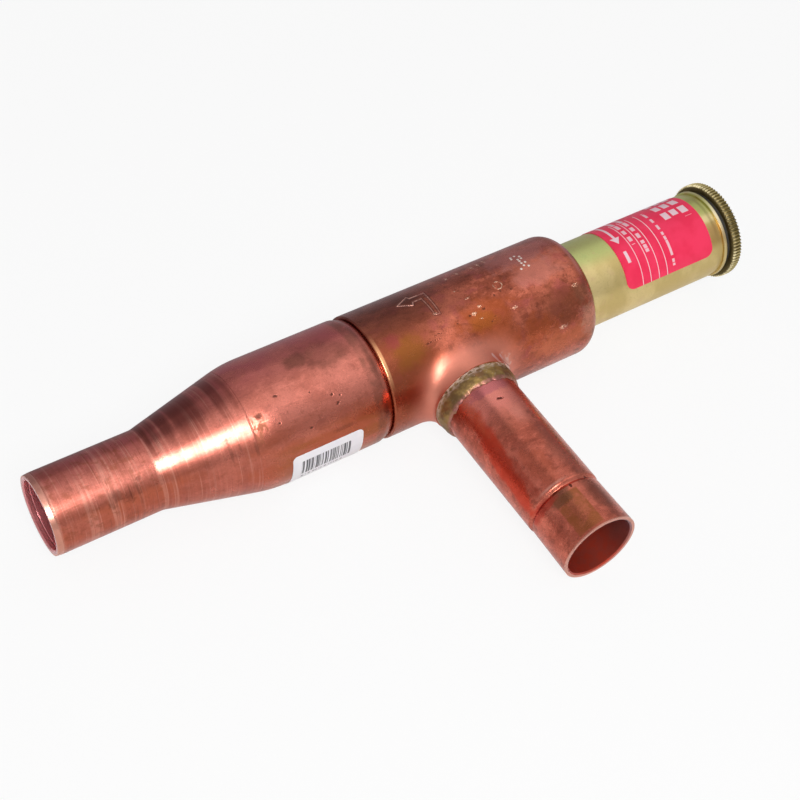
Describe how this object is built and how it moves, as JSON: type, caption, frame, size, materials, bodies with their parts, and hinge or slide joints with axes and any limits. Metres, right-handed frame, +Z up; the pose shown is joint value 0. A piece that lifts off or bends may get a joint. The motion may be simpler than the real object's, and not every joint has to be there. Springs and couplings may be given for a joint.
{
  "type": "refrigerant pressure regulating valve",
  "caption": "Copper pressure regulating valve with a straight solder outlet, a side inlet branch and a plated spring housing closed by a knurled screw cap.",
  "frame": {"origin": "centre of the outlet socket's mouth", "axes": "+X along the main line from the outlet mouth to the cap, -Y along the inlet branch, +Z up"},
  "size_m": [0.1822, 0.0804, 0.03],
  "materials": {
    "copper": "bare drawn copper with heat tint and turning marks",
    "copper_tube": "bare drawn copper with heat tint",
    "braze": "dull braze metal with flux stain",
    "chromate": "yellow chromate over zinc",
    "cap_plating": "aged yellow brass, knurled",
    "steel": "turned steel",
    "spring_steel": "oiled spring wire",
    "seat_brass": "turned brass",
    "bronze": "turned bronze",
    "bellows_metal": "thin tin bronze",
    "seal_plastic": "white low-friction plastic",
    "gasket_rubber": "black gasket",
    "label_red": "glossy printed film",
    "label_white": "glossy white film"
  },
  "bodies": {
    "valve_body": {"body_shell": "copper", "outlet_reducer": "copper", "inlet_tube": "copper_tube", "inlet_braze_ring": "braze", "spring_housing": "chromate", "seat_ring": "seat_brass", "damper_cage": "seat_brass", "stem_guide": "bronze", "bellows_fixed_ring": "seat_brass", "bellows": "bellows_metal", "main_spring": "spring_steel", "name_label": "label_red", "bar_label": "label_white"},
    "valve_train": {"valve_stem": "steel", "valve_plate": "seat_brass", "plate_seal": "seal_plastic", "plate_nut": "seat_brass", "damper_piston": "seat_brass", "piston_ring": "seal_plastic", "bellows_moving_ring": "seat_brass", "retaining_clip": "spring_steel", "lower_spring_plate": "steel"},
    "upper_seat": {"upper_spring_seat": "steel"},
    "setting_screw": {"setting_screw": "seat_brass"},
    "cap_gasket": {"cap_gasket": "gasket_rubber"},
    "protective_cap": {"protective_cap": "cap_plating"}
  },
  "joints": [
    {"name": "valve_lift", "type": "slide", "parent": "valve_body", "child": "valve_train", "axis": [1, 0, 0], "range_m": [0, 0.003], "stiffness_N_per_m": 1500, "springref_m": -0.001, "deforming": ["main_spring", "bellows"]},
    {"name": "seat_feed", "type": "slide", "parent": "valve_body", "child": "upper_seat", "axis": [1, 0, 0], "range_m": [-0.003, 0.002], "deforming": ["main_spring"]},
    {"name": "setting_turn", "type": "hinge", "parent": "upper_seat", "child": "setting_screw", "pos_m": [0.1609, 0, 0], "axis": [1, 0, 0], "range_deg": [-1080, 720]},
    {"name": "gasket_lift", "type": "slide", "parent": "valve_body", "child": "cap_gasket", "axis": [1, 0, 0], "range_m": [0, 0.0075]},
    {"name": "cap_turn", "type": "hinge", "parent": "cap_gasket", "child": "protective_cap", "pos_m": [0.1793, 0, 0], "axis": [1, 0, 0], "range_deg": [0, 2700]}
  ],
  "couplings": [
    {"joint": "setting_turn", "follows": "seat_feed", "rad_per_m": 6283.1},
    {"joint": "cap_turn", "follows": "gasket_lift", "rad_per_m": 6283.1}
  ]
}
